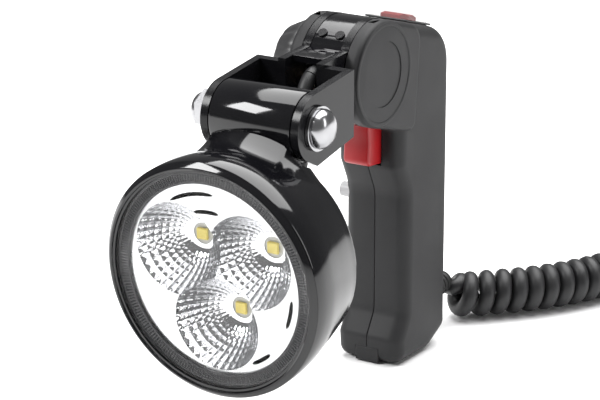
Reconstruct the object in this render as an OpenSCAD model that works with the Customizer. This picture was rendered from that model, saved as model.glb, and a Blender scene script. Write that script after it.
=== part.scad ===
// Hand-held search lamp: a round LED lamp head on a tilting yoke, a pistol grip with a
// trigger, and a curly supply lead that ends in a vehicle plug.
// +Z is up, the beam leaves towards -Y, and the grip stands on z = 0.

/* [Lamp head] */
// Outside diameter of the lamp head at its front rim
head_d = 86; // [84:0.5:87]
// Clear diameter of the light opening
aperture_d = 69; // [66:0.5:70]
// Length of the tapering side wall
head_len = 34; // [33:0.5:35]
// Downward tilt of the beam at rest
beam_tilt = 4.8; // [3:0.2:6]
// Wall thickness of the cast housing
head_wall = 3; // [2.5:0.1:3.2]

/* [Knuckle and yoke] */
// Diameter of the knuckle on top of the head
knuckle_d = 25; // [24:0.5:26]
// Height of the knuckle axis above the resting surface
knuckle_z = 110.5; // [110:0.5:111.5]
// Width over the two outer yoke plates
yoke_w = 40; // [39.6:0.1:40.6]
// Width over the two yoke ears that sit in the fork
ear_w = 18.8; // [18.4:0.1:19]
// Radius of the yoke ears and of the fork cheeks
ear_r = 19.7; // [19.2:0.1:20]
// Thickness of the yoke plate
plate_t = 3; // [2.5:0.1:3.2]

/* [Handle] */
// Width over the fork cheeks
cheek_w = 29.6; // [29:0.2:30.4]
// Width of the grip
grip_w = 27.6; // [26.8:0.2:28]
// Wall thickness of the handle shells
shell_t = 2.4; // [2:0.1:2.6]
// Travel of the trigger
trigger_travel = 4; // [3:0.5:4]

/* [Supply lead] */
// Diameter of the lead itself
lead_d = 6.2; // [6:0.1:6.4]
// Outside diameter of the curly stretch
curl_d = 18; // [17.5:0.1:18]

/* [Hidden] */
$fn = 64;
slack = 0.3;
run_fit = 0.05;
knuckle_y = -32;
pivot_y = knuckle_y + 53.5;
pivot_z = knuckle_z + 6.1;
// The front rim's centre, seen from the knuckle axis along and across the beam
rim_ahead = 39.56;
rim_below = 45.25;
head_r = head_d / 2;
rear_r = head_r - 4;
aperture_r = aperture_d / 2;
knuckle_r = knuckle_d / 2;
plate_x = yoke_w / 2;
ear_x = ear_w / 2;
slot_x = ear_x + slack;
cheek_x = cheek_w / 2;
grip_x = grip_w / 2;
knuckle_x = plate_x - plate_t - slack;
jog_y = knuckle_y + 24.2;
front_y = 40.5;
rear_y = 72.3;
top_slope = 16;
big = 300;

// A rounded outline from corners [x, y, radius]: each corner becomes an arc of `n` steps.
function unit(v) = v / norm(v);
function arc_at(a, p, b, r, n) =
    let (u = unit(a - p), v = unit(b - p), half = acos(u * v) / 2, m = unit(u + v))
    let (c = p + m * r / sin(half), s = -m * r, turn = 90 - half, side = sign(u[1] * v[0] - u[0] * v[1]))
    [for (i = [0:n]) let (t = side * (turn - 2 * turn * i / n))
        c + [s[0] * cos(t) + s[1] * sin(t), -s[0] * sin(t) + s[1] * cos(t)]];
function rounded(pts, n = 6) =
    let (k = len(pts))
    [for (i = [0:k - 1])
        let (a = pts[(i + k - 1) % k], p = pts[i], b = pts[(i + 1) % k])
        each (p[2] <= 0 ? [[p[0], p[1]]] :
            arc_at([a[0], a[1]], [p[0], p[1]], [b[0], b[1]], p[2], n))];

// Corners moved inwards by d, for a counter-clockwise outline.
function inset(pts, d) =
    let (k = len(pts))
    [for (i = [0:k - 1])
        let (a = pts[(i + k - 1) % k], p = pts[i], b = pts[(i + 1) % k])
        let (e = unit([p[0] - a[0], p[1] - a[1]]), f = unit([b[0] - p[0], b[1] - p[1]]))
        let (m = [-e[1], e[0]], n = [-f[1], f[0]], convex = e[0] * f[1] - e[1] * f[0] > 0)
        [p[0] + d * (m[0] + n[0]) / (1 + m * n), p[1] + d * (m[1] + n[1]) / (1 + m * n),
            p[2] <= 0 ? 0 : convex ? max(0.6, p[2] - d) : p[2] + d]];

module along_x(x0, x1) {
    translate([x0, 0, 0])
        rotate([90, 0, 90])
            linear_extrude(x1 - x0)
                children();
}

module x_rod(x0, x1, r, y, z) {
    translate([x0, y, z])
        rotate([0, 90, 0])
            cylinder(r = r, h = x1 - x0);
}

module both_sides() {
    children();
    mirror([1, 0, 0]) children();
}

// A round tube swept along points, for leads. `ref` is never parallel to the path.
function spline(p, n) =
    let (k = len(p))
    concat([for (i = [0:k - 2], j = [0:n - 1])
        let (a = p[max(i - 1, 0)], b = p[i], c = p[i + 1], d = p[min(i + 2, k - 1)], t = j / n)
        0.5 * (2 * b + (c - a) * t + (2 * a - 5 * b + 4 * c - d) * t * t + (3 * b - a - 3 * c + d) * t * t * t)],
        [p[k - 1]]);

module swept(path, r, sides, ref) {
    k = len(path);
    rings = [for (i = [0:k - 1])
        let (t = unit(path[min(i + 1, k - 1)] - path[max(i - 1, 0)]))
        let (u = unit(cross(ref, t)), v = cross(t, u))
        each [for (s = [0:sides - 1]) path[i] + r * (cos(360 * s / sides) * u + sin(360 * s / sides) * v)]];
    walls = [for (i = [0:k - 2], s = [0:sides - 1])
        let (a = i * sides + s, b = i * sides + (s + 1) % sides)
        each [[a, b + sides, b], [a, a + sides, b + sides]]];
    polyhedron(points = concat(rings, [path[0], path[k - 1]]), faces = concat(walls,
        [for (s = [0:sides - 1]) [k * sides, s, (s + 1) % sides]],
        [for (s = [0:sides - 1]) [k * sides + 1, (k - 1) * sides + (s + 1) % sides, (k - 1) * sides + s]]));
}

// ---- Lamp head: local +Z is the beam, local +Y is up, z = 0 is the rim's widest circle ----

module in_head() {
    translate([0, knuckle_y, knuckle_z])
        rotate([90 + beam_tilt, 0, 0])
            translate([0, -rim_below, rim_ahead])
                children();
}

lip = 2;
lens_z = 1.1;
lens_t = 2;
lens_r = head_r - 4;
mask_t = 0.8;
mouth_z = lens_z - lens_t - mask_t;
cup_depth = 16;
cup_mouth_r = 17;
cup_ring_r = 16.8;
board_z = mouth_z - cup_depth - 0.4;
floor_t = 3;
cover_z = -head_len;
cover_r = 32;
cover_t = 4;

module can_outside() {
    rotate_extrude($fn = 96)
        polygon(concat([[0, -head_len], [rear_r - 3, -head_len]],
            [for (a = [-90:15:0]) [rear_r - 3 + 3 * cos(a), -head_len + 3 + 3 * sin(a)]],
            [[head_r - 2.4, -18], [head_r - 0.5, -11], [head_r, -8], [head_r, 0], [0, 0]]));
}

module neck() {
    hull() {
        translate([-knuckle_x, rim_below - 9.5, -rim_ahead + 3.6])
            cube([2 * knuckle_x, 4, 8.4]);
        translate([-28, rim_below - 18.25, -rim_ahead + 6.86])
            cube([56, 2, 15]);
    }
}

module cover_screw_places() {
    for (a = [30, 150, 210, 330])
        rotate(a)
            translate([cover_r - 2.7, 0, 0])
                children();
}

module lead_exit() {
    translate([3, 19, 0])
        children();
}

module head_housing() color([0.04, 0.04, 0.045]) {
    difference() {
        union() {
            in_head() can_outside();
            in_head() neck();
            x_rod(-knuckle_x, knuckle_x, knuckle_r, knuckle_y, knuckle_z);
        }
        in_head() {
            translate([0, 0, board_z - 1.6])
                cylinder(r1 = rear_r - 3.4, r2 = head_r - head_wall, h = -board_z + 1.61);
            translate([0, 0, cover_z - 1])
                cylinder(r = 26.5, h = 5);
            translate([0, 0, cover_z])
                cylinder(r = 24, h = board_z - 1.6 - floor_t - cover_z);
            translate([0, 0, cover_z])
                cylinder(r = 4, h = head_len);
            cover_screw_places()
                translate([0, 0, cover_z - 1])
                    cylinder(r = 1.5, h = 8);
        }
        // bore for the two bushes, right through the knuckle
        x_rod(-big / 2, big / 2, 5.5, knuckle_y, knuckle_z);
        // pockets in which the yoke's ears turn
        both_sides()
            x_rod(knuckle_x, plate_x + 0.9, 14.6, knuckle_y, knuckle_z);
    }
}

module front_bezel() color([0.05, 0.05, 0.055]) in_head()
    rotate_extrude($fn = 96)
        polygon([[lens_r + 0.1, 0], [head_r - 0.1, 0], [head_r - 2, lip], [head_r - 2.6, lip], [lens_r + 0.1, lens_z]]);

module lens() color([0.9, 0.95, 1, 0.3]) in_head()
    translate([0, 0, lens_z - lens_t])
        cylinder(r = lens_r, h = lens_t);

module lens_gasket() color([0.1, 0.1, 0.1]) in_head()
    rotate_extrude($fn = 96)
        polygon([[lens_r + 0.1, lens_z - lens_t], [head_r - head_wall - 0.4, lens_z - lens_t],
            [head_r - head_wall - 0.4, 0], [lens_r + 0.1, 0]]);

module mask_ring() color([0.08, 0.08, 0.08]) in_head()
    translate([0, 0, mouth_z])
        difference() {
            cylinder(r = head_r - head_wall - 0.8, h = mask_t);
            translate([0, 0, -1])
                cylinder(r = aperture_r, h = mask_t + 2);
        }

module cup_places() {
    for (a = [30, 150, 270])
        rotate(a)
            translate([cup_ring_r, 0, 0])
                rotate(-a)
                    children();
}

module cup_outline(grow) {
    translate([0, 0, mouth_z - cup_depth])
        rotate_extrude($fn = 48)
            polygon(concat([[0, 0]],
                [for (i = [0:8]) let (t = i / 8) [4 + grow + (cup_mouth_r - 4) * sqrt(t), cup_depth * t]],
                [[cup_mouth_r + grow, cup_depth + 0.01], [0, cup_depth + 0.01]]));
}

module reflector() color([0.8, 0.82, 0.84]) in_head()
    difference() {
        union() {
            translate([0, 0, mouth_z - 1.5])
                cylinder(r = head_r - head_wall - 0.8, h = 1.5);
            cup_places()
                cup_outline(0.8);
        }
        cup_places()
            cup_outline(0);
        translate([0, 0, mouth_z])
            cylinder(r = big, h = 5);
    }

module led_board() color([0.85, 0.85, 0.82]) in_head()
    difference() {
        translate([0, 0, board_z - 1.6])
            cylinder(r = 31, h = 1.6);
        translate([0, 0, board_z - 3])
            cylinder(r = 2, h = 4);
    }

module leds() color([0.95, 0.85, 0.3]) in_head()
    cup_places()
        translate([-1.8, -1.8, board_z])
            cube([3.6, 3.6, 1.1]);

module driver_board() color([0.1, 0.35, 0.2]) in_head()
    translate([0, 0, cover_z + 2.4])
        union() {
            cylinder(r = 26.4, h = 1.6);
            translate([-8, -6, 1.6]) cube([10, 12, 3]);
            translate([10, 4, 1.6]) cylinder(r = 4, h = 2.5);
        }

module rear_cover() color([0.05, 0.05, 0.055]) in_head()
    difference() {
        union() {
            translate([0, 0, cover_z - 0.5 - cover_t])
                cylinder(r = cover_r, h = cover_t);
            intersection() {
                translate([0, 0, cover_z - 12])
                    cylinder(r = 25, h = 9);
                union() {
                    for (x = [-18:6:18])
                        translate([x - 1, -30, cover_z - 12])
                            cube([2, 60, 9]);
                    translate([-6, 11, cover_z - 12])
                        cube([18, 16, 9]);
                }
            }
        }
        cover_screw_places() {
            translate([0, 0, cover_z - 6]) cylinder(r = 1.5, h = 8);
            translate([0, 0, cover_z - 16]) cylinder(r = 3.2, h = 13.4);
        }
        lead_exit()
            translate([0, 0, cover_z - 15]) cylinder(r = 4, h = 20);
    }

module rear_seal() color([0.1, 0.1, 0.1]) in_head()
    translate([0, 0, cover_z - 0.5])
        difference() {
            cylinder(r = cover_r - 0.2, h = 0.5);
            translate([0, 0, -1]) cylinder(r = 26.5, h = 3);
            cover_screw_places() translate([0, 0, -1]) cylinder(r = 1.5, h = 4);
        }

module cover_screws() color([0.7, 0.7, 0.72]) in_head()
    cover_screw_places() {
        translate([0, 0, cover_z - 4.6]) cylinder(r = 2.8, h = 2);
        translate([0, 0, cover_z - 2.7]) cylinder(r = 1.5, h = 7);
    }

module head_grommet() color([0.07, 0.07, 0.07]) in_head()
    lead_exit()
        translate([0, 0, cover_z - 14.5])
            difference() {
                union() {
                    translate([0, 0, 2.5]) cylinder(r = 4, h = 11);
                    cylinder(r1 = 4.6, r2 = 5.6, h = 2.5);
                }
                translate([0, 0, -1]) cylinder(r = link_d / 2 + 0.1, h = 20);
                translate([0, 0, -0.01]) cylinder(r1 = link_d / 2 + 1.1, r2 = link_d / 2 + 0.1, h = 6);
            }

module knuckle_bushes() color([0.75, 0.7, 0.55])
    both_sides()
        difference() {
            union() {
                x_rod(knuckle_x - 12, knuckle_x, 5.5, knuckle_y, knuckle_z);
                x_rod(knuckle_x, plate_x - plate_t - 0.1, 8, knuckle_y, knuckle_z);
            }
            x_rod(0, plate_x, bolt_r + run_fit, knuckle_y, knuckle_z);
        }

// ---- Yoke: local origin on the knuckle axis, y to the rear, z up ----

bolt_r = 4;
pin_r = 3;
sleeve_r = 5;
link_d = 5.5;
ky = pivot_y - knuckle_y;
kz = pivot_z - knuckle_z;

module at_knuckle() {
    translate([0, knuckle_y, knuckle_z])
        children();
}

module tilt_bolt() color([0.75, 0.75, 0.77]) at_knuckle() {
    x_rod(-plate_x - 6, plate_x + 1.6, bolt_r, 0, 0);
    translate([plate_x + 1.6, 0, 0])
        rotate([0, 90, 0])
            rotate_extrude()
                polygon([[0, 0], [7, 0], [6.8, 1.4], [5.6, 3], [3.4, 4.1], [0, 4.4]]);
}

module dome_nut() color([0.75, 0.75, 0.77]) at_knuckle()
    difference() {
        union() {
            translate([-plate_x - 1.6, 0, 0])
                rotate([0, -90, 0])
                    cylinder(d = 15, h = 5.2, $fn = 6);
            translate([-plate_x - 6.8, 0, 0])
                rotate([0, -90, 0])
                    rotate_extrude()
                        polygon([[0, 0], [6.2, 0], [5.6, 1.8], [3.8, 3], [0, 3.6]]);
        }
        x_rod(-plate_x - 6.1, 0, bolt_r, 0, 0);
    }

module bolt_washers() color([0.75, 0.75, 0.77]) at_knuckle()
    both_sides()
        difference() {
            x_rod(plate_x, plate_x + 1.6, 8, 0, 0);
            x_rod(0, plate_x + 5, bolt_r, 0, 0);
        }

function ring_points(r, a0, a1, n) = [for (i = [0:n]) let (a = a0 + (a1 - a0) * i / n) [r * cos(a), r * sin(a)]];

module yoke_arm() at_knuckle()
    difference() {
        union() {
            // outer plate, round at the front
            along_x(plate_x - plate_t, plate_x)
                polygon(concat(ring_points(12.2, 97, 235, 14), [[0.5, -13.7], [24.2, -9], [24.2, 15.2]]));
            along_x(ear_x - 3, plate_x)
                polygon([[21.2, -9.6], [24.2, -9], [24.2, 15.2], [21.2, 14.83]]);
            along_x(ear_x - 3, ear_x)
                polygon([[21.2, -9], [ky - 8, -9.4], [ky, -6.5], [ky, 20.5], [ky - 10, 19.5], [38, 17.3], [21.2, 16.1]]);
            x_rod(ear_x - 3, ear_x, ear_r, ky, kz);
        }
        x_rod(-big, big, bolt_r + 0.1, 0, 0);
        x_rod(-big, big, sleeve_r + run_fit, ky, kz);
    }

module yoke_arm_near() color([0.06, 0.06, 0.065]) yoke_arm();
module yoke_arm_far() color([0.06, 0.06, 0.065]) mirror([1, 0, 0]) yoke_arm();

module yoke_web() color([0.05, 0.05, 0.055]) at_knuckle()
    difference() {
        along_x(-ear_x + 3, ear_x - 3)
            polygon(concat([[25.5, 14.2], [37.5, 14.2]],
                [for (p = ring_points(17, 150, 78, 12)) [ky, kz] + p],
                [for (p = ring_points(19.5, 78, 146, 12)) [ky, kz] + p], [[25.5, 16.7]]));
        web_screw_places() translate([0, 0, 14]) cylinder(r = 1, h = 8);
    }

module web_screw_places() {
    for (x = [-3.6, 3.6])
        translate([x, ky, kz])
            rotate([38, 0, 0])
                children();
}

module web_screws() color([0.75, 0.75, 0.77]) at_knuckle()
    web_screw_places() {
        translate([0, 0, 17.5]) cylinder(r = 1, h = 2);
        translate([0, 0, 19.5]) cylinder(r = 1.8, h = 0.6);
    }

// The short lead from the head to the handle, in two stretches that meet behind the knuckle
link_run = spline([[3, -0.5, -26.36], [3, 5.5, -25.86], [3, 11.5, -25.36], [3, 16.4, -18.5], [3, 17.4, -6.5],
    [3, 18.4, 4.5], [3, 22.5, 10.2], [2.8, 28, 11.3], [2, 34.5, 10.8], [1, 41.5, 11.8], [0.5, 47.5, 16.7],
    [0.5, 54.5, 18.3], [0.5, 61.5, 16], [0.5, 69, 11.25], [0.5, 76.5, 6.5]], 5);
front_run = [for (i = [0:30]) link_run[i]];
rear_run = [for (i = [31:len(link_run) - 1]) link_run[i]];

module link_lead_front() color([0.06, 0.06, 0.06]) at_knuckle()
    swept(front_run, link_d / 2, 12, [1, 0, 0]);

module link_lead_rear() color([0.06, 0.06, 0.06]) at_knuckle()
    swept(rear_run, link_d / 2, 12, [1, 0, 0]);

// ---- Handle: outline seen from the side, anticlockwise, as [y, z, corner radius] ----

function top_z(y) = 135.5 - (y - 26.9) * tan(top_slope);
function under_z(y) = 97.66 - (y - 16.07) * tan(top_slope);
nose_y = pivot_y - ear_r;
side = [
    [36, 0, 4], [60, 0, 8], [rear_y, 6, 5], [rear_y, top_z(rear_y), 15], [nose_y, top_z(nose_y), ear_r - 0.4],
    [nose_y, under_z(nose_y), ear_r - 0.4], [35, under_z(35), 2], [35, 77, 5], [front_y, 66, 12], [front_y, 19, 8],
    [35, 10, 4]
];
plan = [[-grip_x, 24, 2], [grip_x, 24, 2], [grip_x, rear_y, 8], [-grip_x, rear_y, 8]];

module upright(outline, z0, z1) {
    translate([0, 0, z0])
        linear_extrude(z1 - z0)
            polygon(outline);
}

module handle_outside() {
    intersection() {
        along_x(-grip_x, grip_x)
            polygon(rounded(side));
        upright(rounded(plan), -1, 150);
    }
    intersection() {
        along_x(-cheek_x, cheek_x)
            polygon(rounded(side));
        translate([-big / 2, -big / 2, under_z(30) - 2])
            cube([big, big / 2 + 46, 100]);
    }
}

module handle_inside() {
    intersection() {
        along_x(-grip_x + shell_t, grip_x - shell_t)
            polygon(rounded(inset(side, shell_t)));
        upright(rounded([[-grip_x, 30, 2], [grip_x, 30, 2], [grip_x, rear_y - shell_t, 8],
            [-grip_x, rear_y - shell_t, 8]]), 0, 150);
        union() {
            translate([-big / 2, 46, 0]) cube([big, big, 150]);
            translate([-big / 2, 0, 0]) cube([big, big, 74]);
            translate([-7.5, 0, 60]) cube([15, big, 39.5]);
        }
    }
}

shell_screw_at = [[49, 12], [65, 57], [65, 107], [48, 70.6]];
top_mid = 55.7;

module on_top() {
    translate([0, top_mid, top_z(top_mid)])
        rotate([-top_slope, 0, 0])
            children();
}

module shell_cuts() {
    // fork slot for the yoke's ears
    x_rod(-slot_x, slot_x, ear_r + 0.8, pivot_y, pivot_z);
    translate([-slot_x, -20, under_z(0) - 12])
        cube([2 * slot_x, pivot_y + 20, 80]);
    x_rod(-big, slot_x, pin_r + run_fit, pivot_y, pivot_z);
    x_rod(slot_x - 1, slot_x + 3.4, pin_r + run_fit, pivot_y, pivot_z);
    translate([slot_x - 0.01, pivot_y, pivot_z])
        rotate([0, 90, 0]) cylinder(d = 11.6, h = 3.3, $fn = 6);
    // mouth for the trigger
    translate([-5.8, 22, 77.7])
        cube([11.6, 16, 20.6]);
    // opening for the rocker switch
    on_top() translate([-7.5, -8, -8]) cube([15, 16, 12]);
    // hole for the lock button
    x_rod(-big, -6, 3.1, 44.6, 63);
    // way in for the short lead, way out for the supply lead
    translate([0.5, 29.5, pivot_z + 9.9]) rotate([-122.3, 0, 0]) cylinder(r = 3.4, h = 23);
    translate([0, 60, 15]) rotate([-90, 0, 0]) cylinder(r = 5, h = 20);
    // pocket for the base lug
    translate([-5, 30, -1]) cube([10, 18, 6.7]);
}

module boss_holes(r, x0, x1) {
    for (p = shell_screw_at)
        x_rod(x0, x1, r, p[0], p[1]);
}

module shell_near() color([0.22, 0.22, 0.23])
    difference() {
        union() {
            difference() {
                intersection() {
                    handle_outside();
                    cube([big, big, 300]);
                }
                handle_inside();
            }
            intersection() {
                boss_holes(3.6, 0, grip_x - 1);
                handle_outside();
            }
            // bead round the pivot
            difference() {
                x_rod(cheek_x - 0.2, cheek_x + 0.4, 19, pivot_y, pivot_z);
                x_rod(cheek_x - 1, cheek_x + 1, 17, pivot_y, pivot_z);
            }
        }
        shell_cuts();
        boss_holes(1.4, -1, 9);
        x_rod(cheek_x - 0.5, big, 12, pivot_y, pivot_z);
    }

module shell_far() color([0.22, 0.22, 0.23])
    difference() {
        union() {
            difference() {
                intersection() {
                    handle_outside();
                    translate([-big, 0, 0]) cube([big, big, 300]);
                }
                handle_inside();
            }
            intersection() {
                boss_holes(3.6, -grip_x + 1, 0);
                handle_outside();
            }
        }
        shell_cuts();
        boss_holes(1.4, -big, 1);
        boss_holes(3, -big, -grip_x + 3);
    }

module shell_screws() color([0.6, 0.6, 0.62]) {
    boss_holes(1.4, -grip_x + 3, 8);
    boss_holes(2.8, -grip_x + 0.8, -grip_x + 3);
}

module pivot_sleeve() color([0.7, 0.7, 0.72])
    difference() {
        x_rod(-slot_x, slot_x, sleeve_r, pivot_y, pivot_z);
        x_rod(-big, big, pin_r + run_fit, pivot_y, pivot_z);
    }

module friction_discs() color([0.5, 0.45, 0.35])
    both_sides()
        difference() {
            x_rod(ear_x - 4.2, ear_x - 3, 8.5, pivot_y, pivot_z);
            x_rod(-big, big, sleeve_r + run_fit, pivot_y, pivot_z);
        }

module pivot_nut() color([0.7, 0.7, 0.72])
    difference() {
        translate([slot_x, pivot_y, pivot_z])
            rotate([0, 90, 0]) cylinder(d = 11.5, h = 3, $fn = 6);
        x_rod(-big, big, pin_r + run_fit, pivot_y, pivot_z);
    }

knob_x = -cheek_x - slack;

module clamp_knob() color([0.07, 0.07, 0.07])
    difference() {
        translate([knob_x, pivot_y, pivot_z])
            rotate([0, -90, 0])
                rotate_extrude()
                    polygon([[0, 0], [16, 0], [16.6, 0.6], [16.4, 2.4], [13.4, 9], [12.6, 9.6], [0, 9.6]]);
        x_rod(knob_x - 6.5, 0, pin_r, pivot_y, pivot_z);
    }

module pivot_bolt() color([0.7, 0.7, 0.72])
    x_rod(knob_x - 6.5, slot_x + 3.2, pin_r, pivot_y, pivot_z);

module trigger() color([0.8, 0.08, 0.1]) {
    along_x(-5.5, 5.5)
        polygon(rounded([[26, 78.4, 2], [36, 77.9, 0], [42, 78, 0], [42, 98, 0], [36, 98, 0], [26.4, 98, 2]]));
    along_x(-7, 7)
        polygon([[37.8, 78], [40, 78], [40, 98.3], [37.8, 98.3]]);
}

module trigger_spring() color([0.7, 0.7, 0.72])
    difference() {
        translate([0, 42, 88]) rotate([-90, 0, 0]) cylinder(r = 3, h = 11);
        translate([0, 41, 88]) rotate([-90, 0, 0]) cylinder(r = 2.2, h = 13);
    }

module trigger_switch() color([0.08, 0.08, 0.08]) {
    translate([-6, 53, 80]) cube([12, 10, 16]);
    x_rod(-grip_x + shell_t, grip_x - shell_t, 2, 58, 84);
    x_rod(-grip_x + shell_t, grip_x - shell_t, 2, 58, 92);
}

module switch_frame() color([0.1, 0.1, 0.1]) on_top()
    difference() {
        union() {
            translate([-7.5, -8, -4]) cube([15, 16, 4.2]);
            translate([-8.8, -9.4, 0.1]) cube([17.6, 18.8, 0.8]);
        }
        translate([-5, -7, -1.8]) cube([10, 14, 6]);
    }

module rocker() color([0.8, 0.08, 0.08]) on_top() {
    along_x(-4.2, 4.2)
        polygon([[-6, -1], [6, -1], [6, 2.2], [3, 3], [0, 2.4], [-3, 3], [-6, 2.2]]);
    x_rod(-4.8, 4.8, 0.8, 0, -1);
}

module switch_boot() color([0.9, 0.9, 0.9, 0.4]) on_top()
    difference() {
        union() {
            translate([-8, -8.6, 0.9]) cube([16, 17.2, 3.2]);
            along_x(-7.2, 7.2) polygon([[-7.8, 4.1], [7.8, 4.1], [6.6, 5], [-6.6, 5]]);
        }
        translate([-6.8, -7.4, 0]) cube([13.6, 14.8, 4.1]);
    }

module lock_button() color([0.85, 0.85, 0.85, 0.8]) {
    x_rod(-grip_x - 2.6, -grip_x + 4.4, 2.8, 44.6, 63);
    x_rod(-grip_x + shell_t + 0.3, -grip_x + shell_t + 1.5, 3, 46.4, 63);
}

module lock_spring() color([0.7, 0.7, 0.72])
    difference() {
        x_rod(-grip_x + 4.4, -4.2, 1.4, 44.9, 63);
        x_rod(-grip_x, 0, 0.9, 44.9, 63);
    }

module terminal_block() color([0.75, 0.75, 0.72])
    difference() {
        translate([-5.5, 57.9, 30]) cube([11, 12, 14]);
        for (x = [-2.8, 2.8])
            translate([x, 63, 34]) cylinder(r = 1.6, h = 12);
    }

module base_lug() color([0.2, 0.2, 0.21])
    difference() {
        translate([-5, 35.4, 0]) cube([10, 12.6, 5.7]);
        translate([0, 41.5, -1]) cylinder(r = 2.1, h = 8);
    }

module lead_gland() color([0.2, 0.2, 0.2])
    difference() {
        translate([0, 63, 15]) rotate([-90, 0, 0]) cylinder(r = 6.5, h = 6.9);
        translate([0, 60, 15]) rotate([-90, 0, 0]) cylinder(r = lead_d / 2 + 0.1, h = 20);
    }

module strain_relief() color([0.07, 0.07, 0.07])
    difference() {
        union() {
            translate([0, rear_y - shell_t, 15]) rotate([-90, 0, 0]) cylinder(r = 5, h = shell_t);
            translate([0, rear_y, 15]) rotate([-90, 0, 0]) cylinder(r1 = 6.4, r2 = 6.4, h = 2.4);
            translate([0, rear_y + 2.4, 15]) rotate([-90, 0, 0]) cylinder(r1 = 5.4, r2 = 4.6, h = 18);
        }
        translate([0, 50, 15]) rotate([-90, 0, 0]) cylinder(r = lead_d / 2 + 0.1, h = 60);
        translate([0, rear_y + 14.5, 15]) rotate([-90, 0, 0]) cylinder(r1 = lead_d / 2 + 0.1, r2 = lead_d / 2 + 1.1, h = 5.91);
    }

// ---- Supply lead: leaves the strain relief, runs curly along the surface and doubles back ----

curl_z = curl_d / 2 + 0.2;
lead_z = lead_d / 2 + 0.5;
coil_in = [7, 99, curl_z];
coil_out = [18, 236, curl_z];
plug_at = [34, 262, 22.9];
start_run = spline([[0, 58, 15], [0, 66, 15], [0, 76, 15], [0, 86, 15], [0, 90, 15], [0.3, 93, 14.6],
    [1.9, 95.2, 12.6], [4, 96.8, 10.3], [6.3, 98.3, curl_z]], 4);
coil_run = spline([coil_in, [14, 106, curl_z], [24, 117, curl_z], [33, 130, curl_z], [41, 146, curl_z],
    [47, 164, curl_z], [50, 184, curl_z], [50, 246, curl_z], [50, 308, curl_z], [50, 366, curl_z],
    [45.3, 378, curl_z], [34, 382.8, curl_z], [22.7, 378, curl_z], [18, 366, curl_z], [18, 300, curl_z],
    coil_out], 5);
tail_run = spline([[18, 235.4, curl_z], [18.3, 229, 8.4], [20.5, 220, 5.4], [25.5, 213.5, lead_z],
    [31.5, 214, lead_z], [35.3, 221, 6], [35, 231, 12.5], [34, 239, 19], [34, 244.5, 22.3], [34, 249, 22.9],
    [34, 255, 22.9], [34, 261.5, 22.9]], 4);

module lead_start() color([0.1, 0.1, 0.105])
    swept(start_run, lead_d / 2, 12, [0, 0, 1]);

module curly_lead() color([0.1, 0.1, 0.105])
    swept(coil_run, curl_d / 2, 12, [0, 0, 1]);

module lead_tail() color([0.1, 0.1, 0.105])
    swept(tail_run, lead_d / 2, 12, [0, 0, 1]);

module plug_frame() {
    translate(plug_at)
        rotate([-90, 0, 0])
            children();
}

module plug_cap() color([0.1, 0.1, 0.1]) plug_frame()
    difference() {
        translate([0, 0, -14])
            rotate_extrude()
                polygon([[0, 0], [4.6, 0], [5.2, 8], [9.4, 12], [10.6, 20], [0, 20]]);
        translate([0, 0, -15]) cylinder(r = lead_d / 2 + 0.1, h = 16);
    }

module plug_body() color([0.1, 0.1, 0.1]) plug_frame()
    translate([0, 0, 6])
        rotate_extrude()
            polygon([[0, 0], [11.6, 0], [12, 1], [12, 22], [11.2, 36], [10.2, 38], [0, 38]]);

module plug_tip() color([0.1, 0.1, 0.1]) plug_frame()
    translate([0, 0, 44])
        difference() {
            rotate_extrude()
                polygon([[0, 0], [10.2, 0], [10.2, 20], [8.6, 25], [5, 26], [0, 26]]);
            translate([0, 0, 20]) cylinder(r = 3.4, h = 10);
        }

module plug_contacts() color([0.78, 0.78, 0.8]) plug_frame() {
    translate([0, 0, 64]) cylinder(r = 3.3, h = 8.6);
    for (s = [-1, 1])
        translate([s * 10.8 - 0.6, -2, 49]) cube([1.2, 4, 10]);
}

head_housing();
front_bezel();
lens();
lens_gasket();
mask_ring();
reflector();
led_board();
leds();
driver_board();
rear_cover();
rear_seal();
cover_screws();
head_grommet();
knuckle_bushes();
tilt_bolt();
dome_nut();
bolt_washers();
yoke_arm_near();
yoke_arm_far();
yoke_web();
web_screws();
link_lead_front();
link_lead_rear();
shell_near();
shell_far();
shell_screws();
pivot_sleeve();
friction_discs();
pivot_nut();
clamp_knob();
pivot_bolt();
trigger();
trigger_spring();
trigger_switch();
switch_frame();
rocker();
switch_boot();
lock_button();
lock_spring();
terminal_block();
base_lug();
lead_gland();
strain_relief();
lead_start();
curly_lead();
lead_tail();
plug_body();
plug_cap();
plug_tip();
plug_contacts();
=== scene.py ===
"""Looks of a hand-held search lamp: lamp head, yoke, pistol grip, curly supply lead and vehicle plug."""
import logging
import math
from dataclasses import dataclass, field
from enum import Enum

import bmesh
import bpy
import numpy as np
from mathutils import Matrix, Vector


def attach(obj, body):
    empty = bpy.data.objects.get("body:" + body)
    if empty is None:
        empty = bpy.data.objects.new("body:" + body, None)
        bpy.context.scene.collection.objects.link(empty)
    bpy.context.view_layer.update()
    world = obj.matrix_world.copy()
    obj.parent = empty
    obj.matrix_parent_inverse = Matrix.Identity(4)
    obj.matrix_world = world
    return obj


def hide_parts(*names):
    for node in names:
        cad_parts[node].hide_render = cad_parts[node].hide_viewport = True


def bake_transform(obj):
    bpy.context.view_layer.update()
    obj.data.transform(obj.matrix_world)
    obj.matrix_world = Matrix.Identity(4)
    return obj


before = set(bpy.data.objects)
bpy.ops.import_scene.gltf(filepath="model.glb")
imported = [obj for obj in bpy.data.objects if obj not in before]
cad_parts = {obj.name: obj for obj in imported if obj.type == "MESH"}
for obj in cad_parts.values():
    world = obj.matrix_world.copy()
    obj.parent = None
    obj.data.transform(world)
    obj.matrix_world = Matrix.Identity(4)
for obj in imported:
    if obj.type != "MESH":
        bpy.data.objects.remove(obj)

log = logging.getLogger("search_lamp")
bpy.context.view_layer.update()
MM = 0.001
WELD = 0.001  # points of a piece nearer than this, in millimetres, are one
CUT_WELD = 0.0001  # the same for shapes that are cut
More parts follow.
